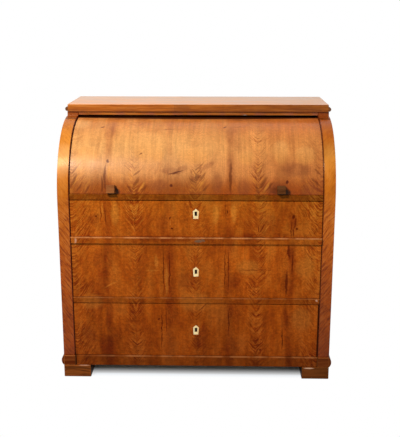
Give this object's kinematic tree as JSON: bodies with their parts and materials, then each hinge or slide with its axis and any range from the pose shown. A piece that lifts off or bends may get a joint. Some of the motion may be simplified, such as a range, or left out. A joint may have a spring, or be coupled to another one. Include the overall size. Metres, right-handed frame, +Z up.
{
  "type": "cylinder bureau",
  "caption": "Veneered cylinder bureau: long drawers under a pull-out writing slide, a quarter-round fall that rolls back over a small gallery, block feet.",
  "frame": {"origin": "middle of the whole box's underside, on the floor between the four feet", "axes": "+Z up, +X to the right along the front, +Y from front to back; the drawers face -Y"},
  "size_m": [1.1178, 0.6312, 1.102],
  "materials": {
    "veneer": "shellac polish, softly glossy",
    "stained_wood": "dark polish, worn",
    "carcass_pine": "bare, aged",
    "bone": "smooth aged bone",
    "iron": "dull forged iron",
    "brass": "aged brass"
  },
  "bodies": {
    "case": {"side_panel_left": "veneer", "side_panel_right": "veneer", "stile_left": "veneer", "stile_right": "veneer", "top_board": "veneer", "top_beads": "stained_wood", "frieze_rail": "veneer", "back_frame": "carcass_pine", "back_panels": "carcass_pine", "bottom_board": "carcass_pine", "deck_board": "carcass_pine", "drawer_rail_1": "veneer", "drawer_rail_2": "veneer", "base_rail": "veneer", "drawer_runners": "carcass_pine", "drawer_guides": "carcass_pine", "plinth_blocks": "veneer", "plinth_mouldings": "veneer", "feet": "stained_wood", "pivot_pins": "iron", "fall_stops": "carcass_pine", "lining_boards": "veneer", "gallery_shelves": "veneer", "gallery_uprights": "veneer", "gallery_back": "carcass_pine"},
    "fall": {"fall_panel": "veneer", "fall_cleats": "carcass_pine", "fall_quadrant_left": "carcass_pine", "fall_quadrant_right": "carcass_pine", "fall_knobs": "stained_wood"},
    "slide": {"slide_board": "veneer", "slide_lip": "veneer"},
    "drawer_1": {"drawer_1_front": "veneer", "drawer_1_sides": "carcass_pine", "drawer_1_back": "carcass_pine", "drawer_1_bottom": "carcass_pine", "drawer_1_key_plate": "bone", "drawer_1_lock": "iron"},
    "bolt_1": {"drawer_1_bolt": "iron"},
    "drawer_2": {"drawer_2_front": "veneer", "drawer_2_sides": "carcass_pine", "drawer_2_back": "carcass_pine", "drawer_2_bottom": "carcass_pine", "drawer_2_key_plate": "bone", "drawer_2_lock": "iron"},
    "bolt_2": {"drawer_2_bolt": "iron"},
    "drawer_3": {"drawer_3_front": "veneer", "drawer_3_sides": "carcass_pine", "drawer_3_back": "carcass_pine", "drawer_3_bottom": "carcass_pine", "drawer_3_key_plate": "bone", "drawer_3_lock": "iron"},
    "bolt_3": {"drawer_3_bolt": "iron"},
    "small_drawer_left": {"small_drawer_left_front": "veneer", "small_drawer_left_box": "carcass_pine", "small_drawer_left_knob": "brass"},
    "small_drawer_right": {"small_drawer_right_front": "veneer", "small_drawer_right_box": "carcass_pine", "small_drawer_right_knob": "brass"}
  },
  "joints": [
    {"name": "fall_roll", "type": "hinge", "parent": "case", "child": "fall", "pos_m": [0, 0.00563, 0.75], "axis": [-1, 0, 0], "range_deg": [0, 70]},
    {"name": "slide_pull", "type": "slide", "parent": "case", "child": "slide", "axis": [0, -1, 0], "range_m": [0, 0.22]},
    {"name": "drawer_1_pull", "type": "slide", "parent": "case", "child": "drawer_1", "axis": [0, -1, 0], "range_m": [0, 0.3]},
    {"name": "drawer_2_pull", "type": "slide", "parent": "case", "child": "drawer_2", "axis": [0, -1, 0], "range_m": [0, 0.3]},
    {"name": "drawer_3_pull", "type": "slide", "parent": "case", "child": "drawer_3", "axis": [0, -1, 0], "range_m": [0, 0.3]},
    {"name": "bolt_1_throw", "type": "slide", "parent": "drawer_1", "child": "bolt_1", "axis": [0, 0, 1], "range_m": [0, 0.01]},
    {"name": "bolt_2_throw", "type": "slide", "parent": "drawer_2", "child": "bolt_2", "axis": [0, 0, 1], "range_m": [0, 0.01]},
    {"name": "bolt_3_throw", "type": "slide", "parent": "drawer_3", "child": "bolt_3", "axis": [0, 0, 1], "range_m": [0, 0.01]},
    {"name": "small_drawer_left_pull", "type": "slide", "parent": "case", "child": "small_drawer_left", "axis": [0, -1, 0], "range_m": [0, 0.11]},
    {"name": "small_drawer_right_pull", "type": "slide", "parent": "case", "child": "small_drawer_right", "axis": [0, -1, 0], "range_m": [0, 0.11]}
  ]
}
